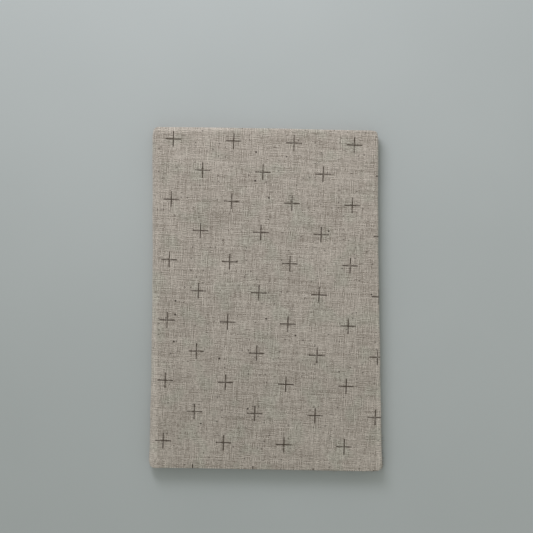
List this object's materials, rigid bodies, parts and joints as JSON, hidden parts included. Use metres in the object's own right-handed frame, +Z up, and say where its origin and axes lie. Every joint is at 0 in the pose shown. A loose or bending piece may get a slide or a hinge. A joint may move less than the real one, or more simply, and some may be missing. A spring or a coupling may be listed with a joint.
{
  "type": "folded length of sashiko fabric",
  "caption": "Cut length of printed cotton and linen cloth for sashiko stitching, folded flat into a slim rectangular stack with soft folds and raw cut edges.",
  "frame": {"origin": "centre of the footprint, on the surface that the folded cloth lies on", "axes": "+Y along the cloth's long side towards the far fold, +X to the right across the face, +Z up out of the face"},
  "size_m": [0.125, 0.1834, 0.0082],
  "materials": {
    "cloth": "matt plain weave of natural cotton and linen, with slubs, small dark flecks and fine printed plus marks"
  },
  "bodies": {
    "root": {"folded_cloth": "cloth"}
  },
  "joints": []
}
